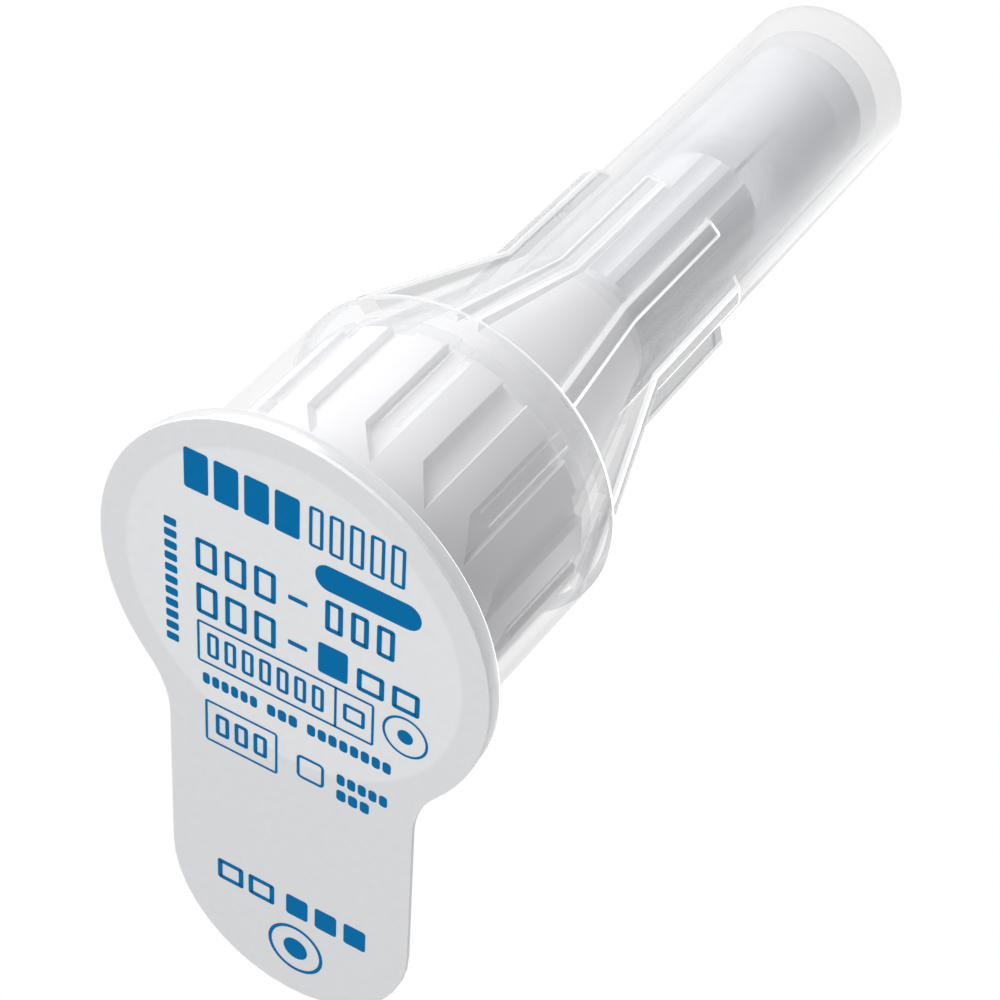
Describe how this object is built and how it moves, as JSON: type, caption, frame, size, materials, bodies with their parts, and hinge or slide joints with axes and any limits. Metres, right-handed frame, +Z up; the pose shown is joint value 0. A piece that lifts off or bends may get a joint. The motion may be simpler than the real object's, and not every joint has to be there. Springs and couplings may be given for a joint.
{
  "type": "pen needle",
  "caption": "Sealed pen needle: a threaded hub with a fine cannula under an inner shield, in a finned container closed by a peel seal.",
  "frame": {"origin": "centre of the peel seal's outer face, the face the sealed container stands on", "axes": "+Z up along the needle towards the container's closed tip, +Y along the seal's pull tab"},
  "size_m": [0.015, 0.0259, 0.0364],
  "materials": {
    "outer_shield": "translucent moulded polypropylene, smooth",
    "peel_seal": "coated medical paper and film, satin, printed in blue",
    "hub": "moulded polypropylene, satin",
    "cannula": "drawn stainless tube, bright",
    "cannula_adhesive": "clear cured adhesive",
    "inner_shield": "translucent moulded polypropylene, smooth"
  },
  "bodies": {
    "root": {"outer_shield": "outer_shield", "peel_seal": "peel_seal", "hub": "hub", "cannula": "cannula", "cannula_adhesive": "cannula_adhesive", "inner_shield": "inner_shield"}
  },
  "joints": []
}
